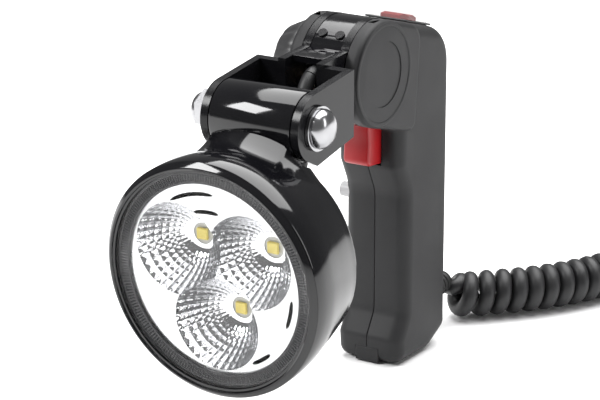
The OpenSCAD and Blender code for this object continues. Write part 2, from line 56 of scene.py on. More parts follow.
KNUCKLE = np.array([0.0, -32.0, 110.5])
PIVOT = np.array([0.0, 21.5, 116.6])
BEAM_TILT = math.radians(4.8)
TOP_SLOPE = math.radians(16.0)
CUP_ANGLES = (30, 150, 270)


class Body(str, Enum):
    """The rigid bodies that pieces ride on."""

    HANDLE = "handle"
    YOKE = "yoke"
    HEAD = "head"
    TRIGGER = "trigger"
    ROCKER = "rocker"
    LOCK = "lock_button"
    CLAMP = "clamp"


# ---- Surfaces on a grid ----


@dataclass
class Shape:
    """Points in millimetres, row frame or local, with faces as index lists."""

    points: np.ndarray
    faces: list = field(default_factory=list)

    def placed(self, matrix: np.ndarray) -> "Shape":
        """The shape turned and moved by a 4 x 4 matrix."""
        moved = self.points @ matrix[:3, :3].T + matrix[:3, 3]
        return Shape(moved, self.faces)

    def __add__(self, other: "Shape") -> "Shape":
        """Both shapes as one."""
        shift = len(self.points)
        more = [[i + shift for i in f] for f in other.faces]
        return Shape(np.vstack([self.points, other.points]), self.faces + more)


def unit(v: np.ndarray) -> np.ndarray:
    """Rows of v scaled to length 1."""
    return v / np.maximum(np.linalg.norm(v, axis=-1, keepdims=True), 1e-12)


def turn(axis: str, angle: float, at: tuple[float, float, float] = (0, 0, 0)) -> np.ndarray:
    """A 4 x 4 matrix: a turn about a coordinate axis, then a move.

    Args:
        axis: "x", "y" or "z".
        angle: in radians, by the right-hand rule.
        at: where the local origin goes, in millimetres.

    Returns:
        The matrix.
    """
    c, s = math.cos(angle), math.sin(angle)
    i, j = {"x": (1, 2), "y": (2, 0), "z": (0, 1)}[axis]
    m = np.eye(4)
    m[i, i], m[i, j], m[j, i], m[j, j] = c, -s, s, c
    m[:3, 3] = at
    return m


def move(at: tuple[float, float, float]) -> np.ndarray:
    """A 4 x 4 matrix that only moves."""
    return turn("x", 0, tuple(at))


HEAD_FRAME = turn("x", math.pi / 2 + BEAM_TILT, tuple(KNUCKLE)) @ move((0, -45.25, 39.56))
TOP_MID = 55.7
TOP_FRAME = turn("x", -TOP_SLOPE, (0, TOP_MID, 135.5 - (TOP_MID - 26.9) * math.tan(TOP_SLOPE)))


def grid(points: np.ndarray, wrap: bool = False, caps: bool = False) -> Shape:
    """Quads over a grid of points.

    Args:
        points: rows x columns x 3.
        wrap: the last column joins the first.
        caps: the first and the last row are closed with one face each.

    Returns:
        The shape.
    """
    rows, cols = points.shape[:2]
    i, j = np.meshgrid(np.arange(rows - 1), np.arange(cols if wrap else cols - 1), indexing="ij")
    k = (j + 1) % cols
    quads = np.stack([i * cols + j, i * cols + k, (i + 1) * cols + k, (i + 1) * cols + j], -1).reshape(-1, 4)
    faces = quads.tolist()
    if caps:
        faces += [list(range(cols))[::-1], list(range((rows - 1) * cols, rows * cols))]
    return Shape(points.reshape(-1, 3), faces)


def revolved(profile: list, steps: int = 96) -> Shape:
    """A profile of (radius, height) pairs turned round local Z: x = r cos a, y = r sin a, z = height.

    A profile that ends where it starts makes a closed ring; any other gets a face at each end.
    """
    p = np.array(profile, float)
    a = np.linspace(0, 2 * np.pi, steps, endpoint=False)
    r = p[:, 0, None]
    pts = np.stack([r * np.cos(a), r * np.sin(a), np.repeat(p[:, 1, None], steps, 1)], -1)
    closed = bool(np.allclose(p[0], p[-1]))
    return grid(pts, wrap=True, caps=not closed)


def rounded(corners: list, steps: int = 8) -> np.ndarray:
    """An outline with each corner (x, y, radius) turned into an arc.

    The arc's centre lies on the corner's bisector at radius / sin(half angle), and the arc runs between the
    two points where it touches the sides.

    Args:
        corners: the corners in order, anticlockwise.
        steps: pieces in each arc.

    Returns:
        Points, one row each.
    """
    c = np.array(corners, float)
    p, r = c[:, :2], np.maximum(c[:, 2], 0.02)
    u, v = unit(np.roll(p, 1, 0) - p), unit(np.roll(p, -1, 0) - p)
    half = np.arccos(np.clip((u * v).sum(1), -1, 1)) / 2
    m = unit(u + v)
    centre = p + m * (r / np.sin(half))[:, None]
    side = np.sign(u[:, 1] * v[:, 0] - u[:, 0] * v[:, 1])
    t = (side * (math.pi / 2 - half))[:, None] * np.linspace(-1, 1, steps + 1)
    s = -m * r[:, None]
    x = s[:, :1] * np.cos(t) - s[:, 1:] * np.sin(t)
    y = s[:, :1] * np.sin(t) + s[:, 1:] * np.cos(t)
    return (centre[:, None] + np.stack([x, y], -1)).reshape(-1, 2)


def inset(corners: list, d: float) -> list:
    """The corners of the outline moved inwards by d, with their radii less d where convex and more where hollow."""
    c = np.array(corners, float)
    p = c[:, :2]
    e, f = unit(p - np.roll(p, 1, 0)), unit(np.roll(p, -1, 0) - p)
    m, n = np.stack([-e[:, 1], e[:, 0]], 1), np.stack([-f[:, 1], f[:, 0]], 1)
    cross = e[:, 0] * f[:, 1] - e[:, 1] * f[:, 0]
    moved = p + d * (m + n) / (1 + (m * n).sum(1))[:, None]
    r = np.where(cross > 0, np.maximum(c[:, 2] - d, 0.3), c[:, 2] + d)
    return np.column_stack([moved, r]).tolist()


def slab(corners: list, x0: float, x1: float, edge0: float, edge1: float, steps: int = 6) -> Shape:
    """A side outline (y, z) carried along X from x0 to x1 with rounded edges.

    At an edge of radius e the outline is set in by e (1 - cos a) while x runs over e sin a.

    Args:
        corners: the outline's corners, anticlockwise, (y, z, radius).
        x0: where it starts.
        x1: where it ends.
        edge0: rounding at the start.
        edge1: rounding at the end.
        steps: pieces in a rounding.

    Returns:
        A closed shape.
    """
    a = np.linspace(math.pi / 2, 0, steps)
    b = a[::-1]
    xs = np.concatenate([x0 + edge0 * (1 - np.sin(a)), x1 - edge1 * (1 - np.sin(b))])
    ds = np.concatenate([edge0 * (1 - np.cos(a)), edge1 * (1 - np.cos(b))])
    layers = [np.column_stack([np.full(len(o), x), o]) for x, o in
              ((x, rounded(inset(corners, d))) for x, d in zip(xs, ds))]
    return grid(np.stack(layers), wrap=True, caps=True)


def rod(r: float, x0: float, x1: float, y: float, z: float, steps: int = 64, edge: float = 0.0) -> Shape:
    """A round bar along X with edges of the given rounding."""
    e = max(edge, 0.001)
    p = [(0, x0), (r - e, x0), (r - 0.3 * e, x0 + 0.3 * e), (r, x0 + e), (r, x1 - e), (r - 0.3 * e, x1 - 0.3 * e),
         (r - e, x1), (0, x1)]
    return revolved(p, steps).placed(turn("y", math.pi / 2, (0, y, z)))


def block(lo: tuple, hi: tuple) -> Shape:
    """A box between two corners."""
    x, y, z = zip(lo, hi)
    pts = np.array([[[x[i], y[j], z[k]] for i, j in ((0, 0), (1, 0), (1, 1), (0, 1))] for k in (0, 1)], float)
    return grid(pts, wrap=True, caps=True)


def swept(path: np.ndarray, radius: np.ndarray, ref: np.ndarray, sides: int = 12) -> Shape:
    """A tube: rings of the given radius round each point of the path, at right angles to it.

    Args:
        path: points in order.
        radius: one for each point.
        ref: one direction for each point, never along the path; the rings start from it.
        sides: points in a ring.

    Returns:
        A tube closed at both ends.
    """
    t = unit(np.gradient(path, axis=0))
    u = unit(ref - (ref * t).sum(1, keepdims=True) * t)
    v = np.cross(t, u)
    a = np.linspace(0, 2 * np.pi, sides, endpoint=False)
    ring = np.cos(a)[None, :, None] * u[:, None] + np.sin(a)[None, :, None] * v[:, None]
    return grid(path[:, None] + ring * radius[:, None, None], wrap=True, caps=True)


def spline(points: list, spacing: float) -> np.ndarray:
    """A smooth curve through points (Catmull-Rom), re-spaced evenly along its length."""
    p = np.array(points, float)
    q = np.vstack([2 * p[0] - p[1], p, 2 * p[-1] - p[-2]])
    t = np.linspace(0, 1, 40, endpoint=False)[None, :, None]
    a, b, c, d = (q[i:len(q) - 3 + i, None] for i in range(4))
    line = 0.5 * (2 * b + (c - a) * t + (2 * a - 5 * b + 4 * c - d) * t**2 + (3 * b - a - 3 * c + d) * t**3)
    line = np.vstack([line.reshape(-1, 3), p[-1:]])
    run = np.concatenate([[0], np.cumsum(np.linalg.norm(np.diff(line, axis=0), axis=1))])
    at = np.linspace(0, run[-1], max(int(round(run[-1] / spacing)), 2) + 1)
    return np.stack([np.interp(at, run, line[:, k]) for k in range(3)], 1)


# ---- Finishes ----


@dataclass(frozen=True)
class Finish:
    """A surface finish: two tints mixed by a soft noise, with fine bump and a varied roughness."""

    name: str
    tint: tuple[float, float, float]
    second: tuple[float, float, float]
    rough: tuple[float, float] = (0.4, 0.5)
    metal: float = 0.0
    grain: float = 1500.0
    bump: float = 0.05
    depth: float = 0.0002
    patch: float = 60.0
    clear: float = 1.0
    specular: float = 0.5

    def material(self) -> bpy.types.Material:
        """The finish as a node material, made once."""
        label = "finish_" + self.name
        made = bpy.data.materials.get(label)
        if made:
            return made
        mat = bpy.data.materials.new(label)
        mat.use_nodes = True
        nt = mat.node_tree
        shader = nt.nodes["Principled BSDF"]
        place = nt.nodes.new("ShaderNodeTexCoord")
        soft = nt.nodes.new("ShaderNodeTexNoise")
        soft.inputs["Scale"].default_value = self.patch
        soft.inputs["Detail"].default_value = 4.0
        fine = nt.nodes.new("ShaderNodeTexNoise")
        fine.inputs["Scale"].default_value = self.grain
        fine.inputs["Detail"].default_value = 2.0
        ramp = nt.nodes.new("ShaderNodeValToRGB")
        ramp.color_ramp.elements[0].position = 0.35
        ramp.color_ramp.elements[1].position = 0.65
        ramp.color_ramp.elements[0].color = (*self.tint, 1)
        ramp.color_ramp.elements[1].color = (*self.second, 1)
        spread = nt.nodes.new("ShaderNodeMapRange")
        spread.inputs["From Min"].default_value = 0.3
        spread.inputs["From Max"].default_value = 0.7
        spread.inputs["To Min"].default_value = self.rough[0]
        spread.inputs["To Max"].default_value = self.rough[1]
        bump = nt.nodes.new("ShaderNodeBump")
        bump.inputs["Strength"].default_value = self.bump
        bump.inputs["Distance"].default_value = self.depth
        nt.links.new(place.outputs["Object"], soft.inputs["Vector"])
        nt.links.new(place.outputs["Object"], fine.inputs["Vector"])
        nt.links.new(soft.outputs["Fac"], ramp.inputs["Fac"])
        nt.links.new(soft.outputs["Fac"], spread.inputs["Value"])
        nt.links.new(fine.outputs["Fac"], bump.inputs["Height"])
        nt.links.new(ramp.outputs["Color"], shader.inputs["Base Color"])
        nt.links.new(spread.outputs["Result"], shader.inputs["Roughness"])
        nt.links.new(bump.outputs["Normal"], shader.inputs["Normal"])
        shader.inputs["Metallic"].default_value = self.metal
        shader.inputs["Specular IOR Level"].default_value = self.specular
        shader.inputs["Alpha"].default_value = self.clear
        return mat


ENAMEL = Finish("black_enamel", (0.003, 0.003, 0.004), (0.005, 0.005, 0.006), (0.06, 0.1), bump=0.02, grain=300,
                specular=0.5)
CASTING = Finish("cast_black", (0.012, 0.012, 0.013), (0.02, 0.02, 0.021), (0.35, 0.5), bump=0.25, grain=2500)
POWDER = Finish("yoke_powder", (0.004, 0.004, 0.005), (0.007, 0.007, 0.008), (0.16, 0.24), bump=0.1, grain=2200,
                specular=0.25)
ZINC = Finish("zinc_plate", (0.42, 0.42, 0.43), (0.34, 0.34, 0.35), (0.16, 0.28), metal=1.0, bump=0.08, grain=900)
BRONZE = Finish("sintered_bronze", (0.5, 0.36, 0.18), (0.42, 0.3, 0.15), (0.3, 0.42), metal=1.0, bump=0.2)
CHROME = Finish("bright_metal_film", (0.93, 0.935, 0.945), (0.88, 0.885, 0.9), (0.03, 0.07), metal=1.0, bump=0.03,
                grain=700)
SATIN_FILM = Finish("satin_metal_film", (0.78, 0.785, 0.79), (0.7, 0.705, 0.71), (0.24, 0.32), metal=1.0,
                    bump=0.05, grain=900)
LENS = Finish("clear_lens", (0.1, 0.1, 0.1), (0.08, 0.08, 0.08), (0.02, 0.04), bump=0.01, clear=0.06)
RUBBER = Finish("black_rubber", (0.014, 0.014, 0.014), (0.022, 0.022, 0.022), (0.55, 0.7), bump=0.2, grain=2500)
RIBBED = Finish("black_ring", (0.018, 0.018, 0.02), (0.03, 0.03, 0.032), (0.18, 0.28), bump=0.08)
BOARD = Finish("white_board", (0.75, 0.75, 0.72), (0.7, 0.7, 0.67), (0.35, 0.45), bump=0.05)
PHOSPHOR = Finish("led_phosphor", (0.9, 0.75, 0.22), (0.85, 0.68, 0.16), (0.3, 0.4), bump=0.05)
GREEN = Finish("green_board", (0.02, 0.16, 0.06), (0.03, 0.2, 0.08), (0.3, 0.4), bump=0.08)
GRIP = Finish("grip_grain", (0.015, 0.015, 0.016), (0.02, 0.02, 0.021), (0.5, 0.6), bump=0.35, grain=3200,
              depth=0.00012, specular=0.3)
KNOB = Finish("knob_satin", (0.02, 0.02, 0.021), (0.03, 0.03, 0.031), (0.35, 0.45), bump=0.15, grain=2600)
RED = Finish("red_moulding", (0.42, 0.006, 0.01), (0.36, 0.005, 0.008), (0.32, 0.42), bump=0.1, grain=2200)
BOOT = Finish("frosted_boot", (0.32, 0.3, 0.3), (0.27, 0.26, 0.26), (0.2, 0.32), bump=0.15, grain=1800, clear=0.36)
BUTTON = Finish("milky_button", (0.45, 0.45, 0.46), (0.4, 0.4, 0.41), (0.3, 0.4), bump=0.05, clear=0.8)
JACKET = Finish("lead_jacket", (0.01, 0.01, 0.011), (0.015, 0.015, 0.016), (0.42, 0.54), bump=0.15, grain=2400,
                specular=0.45)
NYLON = Finish("natural_nylon", (0.6, 0.58, 0.5), (0.55, 0.53, 0.46), (0.4, 0.5), bump=0.1)


# ---- Making pieces ----


def welded(name: str, points: np.ndarray, faces: list, gap: float) -> bpy.types.Object:
    """A mesh object whose points closer than a gap are joined and whose normals face outwards.

    Args:
        name: for the object and its mesh.
        points: one row each.
        faces: index lists.
        gap: points nearer than this become one.

    Returns:
        The object, linked to the scene.
    """
    mesh = bpy.data.meshes.new(name)
    mesh.from_pydata(points.tolist(), [], faces)
    bm = bmesh.new()
    bm.from_mesh(mesh)
    bmesh.ops.remove_doubles(bm, verts=bm.verts, dist=gap)
    bmesh.ops.recalc_face_normals(bm, faces=bm.faces)
    bm.to_mesh(mesh)
    bm.free()
    obj = bpy.data.objects.new(name, mesh)
    bpy.context.scene.collection.objects.link(obj)
    return obj


def piece(name: str, shape: Shape, finish: Finish, body: Body | None, stands_for: tuple = (),
          sharp: float = 35.0) -> bpy.types.Object:
    """A mesh object from a shape, dressed, riding on its body and standing for its nodes.

    Args:
        name: the piece's name.
        shape: in millimetres, row frame.
        finish: its surface.
        body: what it rides on, or None for a piece that rides on no body.
        stands_for: the nodes it replaces.
        sharp: the angle in degrees past which an edge stays sharp.

    Returns:
        The object.
    """
    obj = welded(name, shape.points * MM, shape.faces, WELD * MM)
    return finished(obj, finish, body, stands_for, sharp)


def finished(obj: bpy.types.Object, finish: Finish, body: Body | None, stands_for: tuple = (),
             sharp: float = 35.0) -> bpy.types.Object:
    """Shading, finish, body and nodes for an object whose mesh is ready; arguments as for piece()."""
    obj.data.materials.clear()
    obj.data.materials.append(finish.material())
    obj.data.shade_smooth()
    obj.data.set_sharp_from_angle(angle=math.radians(sharp))
    if body is not None:
        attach(obj, body.value)
    if stands_for:
        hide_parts(*stands_for)
    log.info("made %s, %d faces", obj.name, len(obj.data.polygons))
    return obj


def carved(shape: Shape, cutters: list, joined: list | None = None) -> Shape:
    """The shape with others cut out of it, after any joined ones are added (exact booleans).

    Args:
        shape: a closed shape.
        cutters: closed shapes to take away.
        joined: closed shapes to add first.

    Returns:
        The result.
    """
    base = welded("work", shape.points, shape.faces, CUT_WELD)
    others = []
    for kind, group in (("UNION", joined or []), ("DIFFERENCE", cutters)):
        for other in group:
            tool = welded("tool", other.points, other.faces, CUT_WELD)
            mod = base.modifiers.new("cut", "BOOLEAN")
            mod.operation, mod.object, mod.solver = kind, tool, "EXACT"
            others.append(tool)
    bpy.context.view_layer.update()
    result = base.evaluated_get(bpy.context.evaluated_depsgraph_get()).to_mesh()
    co = np.zeros(len(result.vertices) * 3)
    result.vertices.foreach_get("co", co)
    out = Shape(co.reshape(-1, 3).copy(), [list(p.vertices) for p in result.polygons])
    for o in [base, *others]:
        bpy.data.objects.remove(o)
    return out


def dressed(node: str, finish: Finish) -> None:
    """A CAD node kept as it is, with a finish."""
    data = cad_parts[node].data
    data.materials.clear()
    data.materials.append(finish.material())


def softened(node: str, finish: Finish, body: Body, edge: float = 0.4, steps: int = 3,
             name: str = "") -> bpy.types.Object:
    """A merged copy of a CAD node with its edges rounded, standing for the node.

    Args:
        node: the CAD node.
        finish: its surface.
        body: what it rides on.
        edge: rounding, in millimetres.
        steps: pieces in the rounding.
        name: the piece's name, or empty for the node's with _look.

    Returns:
        The object.
    """
    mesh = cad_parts[node].data.copy()
    bm = bmesh.new()
    bm.from_mesh(mesh)
    bmesh.ops.remove_doubles(bm, verts=bm.verts, dist=2e-6)
    bmesh.ops.dissolve_limit(bm, angle_limit=math.radians(1.5), verts=bm.verts, edges=bm.edges)
    bm.to_mesh(mesh)
    bm.free()
    obj = bpy.data.objects.new(name or node + "_look", mesh)
    bpy.context.scene.collection.objects.link(obj)
    bevel = obj.modifiers.new("edge", "BEVEL")
    bevel.width, bevel.segments = edge * MM, steps
    bevel.limit_method, bevel.angle_limit = "ANGLE", math.radians(40)
    bevel.harden_normals = False
    return finished(obj, finish, body, (node,), 40.0)


# ---- Camera, light and floor ----


@dataclass
class Studio:
    """Camera at the viewing angle, a pale floor and soft lamps."""

    place: tuple[float, float, float] = (0.50356, -0.80419, 0.37155)
    elevation: float = 17.47
    azimuth: float = 32.42
    focal: float = 166.75

    def camera(self) -> None:
        """Sets the scene's camera."""
        data = bpy.data.cameras.new("camera")
        data.lens, data.sensor_width = self.focal, 36.0
        data.clip_start, data.clip_end = 0.01, 50
        cam = bpy.data.objects.new("camera", data)
        cam.location = self.place
        cam.rotation_euler = (math.radians(90 - self.elevation), 0, math.radians(self.azimuth))
        bpy.context.scene.collection.objects.link(cam)
        bpy.context.scene.camera = cam

    def lamp(self, name: str, at: tuple, size: tuple, power: float) -> None:
        """A soft rectangular lamp aimed at the object's middle."""
        data = bpy.data.lights.new(name, "AREA")
        data.shape, data.size, data.size_y, data.energy = "RECTANGLE", size[0], size[1], power
        obj = bpy.data.objects.new(name, data)
        obj.location = at
        obj.rotation_euler = (Vector((0, 0, 0.08)) - Vector(at)).to_track_quat("-Z", "Y").to_euler()
        bpy.context.scene.collection.objects.link(obj)

    def build(self) -> None:
        """Camera, world, floor and lamps."""
        self.camera()
        world = bpy.data.worlds.new("world")
        world.use_nodes = True
        world.node_tree.nodes["Background"].inputs["Color"].default_value = (1, 1, 1, 1)
        world.node_tree.nodes["Background"].inputs["Strength"].default_value = 0.22
        bpy.context.scene.world = world
        bpy.context.scene.view_settings.view_transform = "Standard"
        mesh = bpy.data.meshes.new("floor")
        s = 6.0
        mesh.from_pydata([(-s, -s, -0.0005), (s, -s, -0.0005), (s, s, -0.0005), (-s, s, -0.0005)], [], [(0, 1, 2, 3)])
        floor = bpy.data.objects.new("floor", mesh)
        mat = bpy.data.materials.new("floor")
        mat.use_nodes = True
        shader = mat.node_tree.nodes["Principled BSDF"]
        shader.inputs["Base Color"].default_value = (0.97, 0.97, 0.97, 1)
        shader.inputs["Roughness"].default_value = 0.7
        mesh.materials.append(mat)
        bpy.context.scene.collection.objects.link(floor)
        self.lamp("key", (-0.9, -1.0, 1.1), (0.6, 0.6), 22)
        self.lamp("side", (1.3, 0.4, 0.6), (0.2, 0.9), 3)
        self.lamp("top", (0.0, 0.5, 1.8), (2.2, 2.2), 88)


# ---- Supply lead ----


def eased(t: np.ndarray) -> np.ndarray:
    """A soft step: 0 up to t = 0, 1 from t = 1, and t^2 (3 - 2 t) between."""
    t = np.clip(t, 0, 1)
    return t**2 * (3 - 2 * t)


@dataclass
class SupplyLead:
    """A 2.85 m lead: straight out of the grip, curly along the surface and back, then up into the plug."""

    wire: float = 3.1
    coil: float = 5.9
    pitch: float = 6.33
    loose: float = 0.85
    loose_run: float = 22.0
    spacing: float = 1.7
    sides: int = 16
    length: float = 2.85

    def route(self) -> tuple[np.ndarray, np.ndarray]:
        """The line that the coil winds about, and how far the coil stands off it (0 where straight).

        Returns:
            The points, 0.1 mm apart, and the coil's radius at each.
        """
        z = 9.2
        first = [[0, 76, 15], [0, 86, 15], [0, 90, 15], [0.3, 93, 14.6], [1.9, 95.2, 12.6], [4, 96.8, 10.3], [7, 99, z]]
        curl = [[14, 106, z], [24, 117, z], [33, 130, z], [41, 146, z], [47, 164, z], [50, 184, z], [50, 246, z],
                [50, 308, z], [50, 366, z], [45.3, 378, z], [34, 382.8, z], [22.7, 378, z], [18, 366, z],
                [18, 300, z], [18, 236, z]]
        last = [[18.3, 229, 8.0], [20.5, 220, 5.2], [25.5, 213.5, 3.6], [31.5, 214, 3.6], [35.3, 221, 6],
                [35, 231, 12.5], [34, 239, 19], [34, 244.5, 22.3], [34, 249, 22.9], [34, 256, 22.9]]
        line = spline(first + curl + last, 0.1)
        start = int(np.argmin(np.linalg.norm(line - np.array(first[-1]), axis=1)))
        end = int(np.argmin(np.linalg.norm(line - np.array(curl[-1]), axis=1)))
        k = np.arange(len(line))
        off = self.coil * eased((k - start + 88) / 56) * eased((end + 10 - k) / 60)
        return line, off

    def winding(self) -> tuple[np.ndarray, np.ndarray]:
        """The lead's centreline: line + off (cos a side + sin a up), with a growing by 2 pi for each pitch.

        Returns:
            The points, evenly spaced, and at each the direction from the coil's middle.
        """
        line, off = self.route()
        t = unit(np.gradient(line, axis=0))
        side = unit(np.cross(t, np.array([0, 0, 1.0])))
        up = np.cross(side, t)
        step = np.linalg.norm(np.gradient(line, axis=0), axis=1)
        start = np.argmax(off > 0.01)
        run = np.cumsum(step) - np.cumsum(step)[start]
        pitch = self.pitch + self.loose * np.exp(-np.maximum(run, 0) / self.loose_run)
        angle = np.cumsum(np.where(off > 0.001, 2 * np.pi * step / pitch, 0)) - math.pi / 2
        radial = np.cos(angle)[:, None] * side + np.sin(angle)[:, None] * up
        wound = line + off[:, None] * radial
        run = np.concatenate([[0], np.cumsum(np.linalg.norm(np.diff(wound, axis=0), axis=1))])
        at = np.append(np.arange(0, run[-1], self.spacing), run[-1])
        log.info("lead runs %.3f m", run[-1] * MM)
        path, radial = (np.stack([np.interp(at, run, v[:, i]) for i in range(3)], 1) for v in (wound, radial))
        return path, radial

    def build(self) -> tuple[bpy.types.Object, list]:
        """The lead as one tube, and its line in metres."""
        path, radial = self.winding()
        path[:, 2] = np.maximum(path[:, 2], self.wire + 0.05)
        shape = swept(path, np.full(len(path), self.wire), radial, self.sides)
        obj = piece("supply_lead", shape, JACKET, Body.HANDLE, ("lead_start", "curly_lead", "lead_tail"))
        return obj, (path * MM).tolist()


@dataclass
class Plug:
    """The vehicle plug: ribbed cable end, waisted body, barrel with a centre contact."""

    at: tuple[float, float, float] = (34, 262, 22.9)

    def build(self) -> list[bpy.types.Object]:
        """The plug's pieces, which go with the lead."""
        m = turn("x", -math.pi / 2, self.at)
        ribs = [(4.7 + (0.5 if i % 2 else 0) + 0.02 * i, -14 + i * 0.9) for i in range(10)]
        cap = [(3.15, -14), *ribs, (6.4, -4.4), (8.8, -2.2), (9.9, 0.5), (10.6, 5.4), (10.4, 6), (0, 6)]
        body = [(0, 6.05), (11.2, 6.05), (11.6, 6.4)]
        body += [(11.9 - (0.55 if i % 4 in (1, 2) else 0), 8 + i * 1.0) for i in range(21)]
        body += [(11.7, 30), (11.3, 40), (11.0, 43), (10.3, 44), (0, 44)]
        tip = [(0, 44.05), (10.0, 44.05), (10.2, 44.6), (10.2, 63.6), (9.6, 66.5), (8.2, 69), (5.2, 70), (3.5, 70),
               (3.5, 64.5), (0, 64.5)]
        return [
            piece("plug_cable_end", revolved(cap).placed(m), RUBBER, Body.HANDLE, ("plug_cap",)),
            piece("plug_grip", revolved(body).placed(m), KNOB, Body.HANDLE, ("plug_body",)),
            piece("plug_barrel", revolved(tip).placed(m), KNOB, Body.HANDLE, ("plug_tip",)),
            softened("plug_contacts", ZINC, Body.HANDLE, 0.3),
        ]


# ---- Lamp head ----


@dataclass
class LampHead:
    """Enamelled can with a flared neck and knuckle, bezel, lens, ribbed ring, silver plate and three cups."""

    mouth_z: float = -1.7
    cup_depth: float = 16.0
    cup_mouth: float = 17.0
    cup_ring: float = 16.8
    knuckle: float = 12.5
    half: float = 16.7

    def can(self) -> Shape:
        """The can: a profile turned round the beam, tapering to the back with a rounded rear edge."""
        a = np.radians(np.linspace(-90, 0, 8))
        p = [(24, -34.0), (26.5, -34.0), (35.5, -34.0)]
        p += [(35.6 + 2.8 * math.cos(t), -31.2 + 2.8 * math.sin(t)) for t in a]
        p += [(39.1, -28), (40.0, -24), (40.8, -20), (41.6, -16), (42.4, -12), (42.85, -9), (43.0, -6), (43.0, -0.4),
              (42.8, 0.0), (40.0, 0.0), (40.0, -1.6), (36.0, -16), (30, -18), (24, -19)]
        return revolved(p + [p[0]], 160).placed(HEAD_FRAME)

    def neck(self) -> Shape:
        """The saddle between knuckle and can.

        Over the can's round y = sqrt(r(z)^2 - x^2) it stands up by 6.2 w(x) v(z): w falls from 1 at |x| = 15.5 to 0
        at 30 as a square, v from 1 at the knuckle to 0 at z = -12 as a power of 2.2, so its foot lies along the can.
        """
        x = np.linspace(-30, 30, 97)
        z = np.linspace(-33.4, -12, 40)[:, None]
        w = np.clip(1 - np.maximum(np.abs(x) - 15.5, 0) / 14.5, 0, 1) ** 2
        v = np.clip(1 - np.maximum(z + 27.5, 0) / 15.5, 0, 1) ** 2.2
        r = np.interp(z, [-34, -33.2, -31.2, -28, -24, -20, -16, -12], [35.1, 37, 37.9, 38.6, 39.5, 40.3, 41.1, 41.9])
        can = np.sqrt(r**2 - x**2)
        top = can + 6.2 * w * v
        low = can - 2.5 + 0 * z
        rows = np.stack([np.concatenate([x, x[::-1]]) + 0 * z, np.concatenate([top, low[:, ::-1]], 1),
                         z + np.zeros((1, 2 * len(x)))], -1)
        return grid(rows, wrap=True, caps=True).placed(HEAD_FRAME)

    def pit(self) -> Shape:
        """The lens-shaped hollow low on the knuckle's front: an ellipsoid long in X, to be cut away."""
        a = np.linspace(0, np.pi, 33)
        ball = revolved([(math.sin(t), math.cos(t)) for t in a], 48)
        size = np.array([15.2, 1.5, 3.1])
        ball = ball.placed(turn("y", math.pi / 2))
        return Shape(ball.points * size, ball.faces).placed(turn("x", math.radians(28), (-0.6, -11.4, -6.4)))

    def cups(self) -> Shape:
        """Three reflector cups with r = 4 + (cup_mouth - 4) sqrt(t).

        Pillow facets |sin| x |sin| stand in from the wall. Each cup is cut along the two planes where it meets its
        neighbours.
        """
        t = np.linspace(0.0, 1.0, 91)[:, None]
        a = np.linspace(0, 2 * np.pi, 288, endpoint=False)[None, :]
        r = 4 + (self.cup_mouth - 4) * np.sqrt(t)
        facet = np.abs(np.sin(18 * a)) * (0.35 + 0.65 * np.abs(np.sin(9 * np.pi * np.sqrt(t))))
        r = r - 0.34 * facet * np.minimum(t * 6, 1)
        z = self.mouth_z - self.cup_depth * (1 - t) + 0 * a
        out = None
        for ang in CUP_ANGLES:
            c = math.radians(ang)
            x, y = self.cup_ring * math.cos(c), self.cup_ring * math.sin(c)
            pts = np.stack([x + r * np.cos(a), y + r * np.sin(a), z], -1)
            one = grid(pts, wrap=True)
            bm = bmesh.new()
            mesh = bpy.data.meshes.new("cup")
            mesh.from_pydata(one.points.tolist(), [], one.faces)
            bm.from_mesh(mesh)
            bpy.data.meshes.remove(mesh)
            for side in (-1, 1):
                b = c + side * math.pi / 3
                away = (-side * math.sin(b), side * math.cos(b), 0)
                geom = bm.verts[:] + bm.edges[:] + bm.faces[:]
                bmesh.ops.bisect_plane(bm, geom=geom, plane_co=(0, 0, 0), plane_no=away, clear_outer=True)
            bm.verts.index_update()
            pts = np.array([v.co for v in bm.verts])
            faces = [[v.index for v in f.verts] for f in bm.faces]
            bm.free()
            part = Shape(pts, faces)
            out = part if out is None else out + part
        return out.placed(HEAD_FRAME)

    def plate(self) -> Shape:
        """The silver plate: a thin disc with the cups' mouths and four curved slots cut out."""
        back, front = self.mouth_z - 0.8, self.mouth_z
        disc = revolved([(0, back), (39.0, back), (39.0, front), (0, front)], 160)
        cutters = []
        for ang in CUP_ANGLES:
            c = math.radians(ang)
            hole = revolved([(0, -9), (self.cup_mouth, -9), (self.cup_mouth, 4), (0, 4)], 144)
            cutters.append(hole.placed(move((self.cup_ring * math.cos(c), self.cup_ring * math.sin(c), 0))))
        for r, a0, a1 in ((30.7, 87, 122), (24.3, 82, 106), (31.3, -24, -4), (32.0, -64, -48)):
            a = np.radians(np.linspace(a0, a1, 16))
            w = 0.75 * np.sqrt(np.clip(1 - np.linspace(-1, 1, 16) ** 4, 0.02, 1))
            ring = np.vstack([np.column_stack([(r + w) * np.cos(a), (r + w) * np.sin(a)]),
                              np.column_stack([(r - w) * np.cos(a), (r - w) * np.sin(a)])[::-1]])
            pts = np.stack([np.column_stack([ring, np.full(len(ring), z)]) for z in (-4.0, 1.0)])
            cutters.append(grid(pts, wrap=True, caps=True))
        return carved(disc, cutters).placed(HEAD_FRAME)

    def ring(self) -> Shape:
        """The black ring round the opening, with fine radial ribs: height 0.26 |sin 110 a| between its two borders."""
        a = np.linspace(0, 2 * np.pi, 1100, endpoint=False)[None, :]
        r = np.array([34.6, 34.6, 34.8, 35.3, 35.5, 37.2, 38.2, 38.4, 39.2])[:, None]
        z0 = np.array([-1.69, 0.1, 0.35, 0.35, 0.1, 0.1, 0.1, 0.45, 0.45])[:, None]
        rib = np.array([0, 0, 0, 0, 1, 1, 1, 0, 0])[:, None]
        z = z0 - 0.9 + rib * 0.26 * np.abs(np.sin(110 * a))
        pts = np.stack([r * np.cos(a), r * np.sin(a), z], -1)
        shape = grid(pts, wrap=True)
        return shape.placed(HEAD_FRAME)

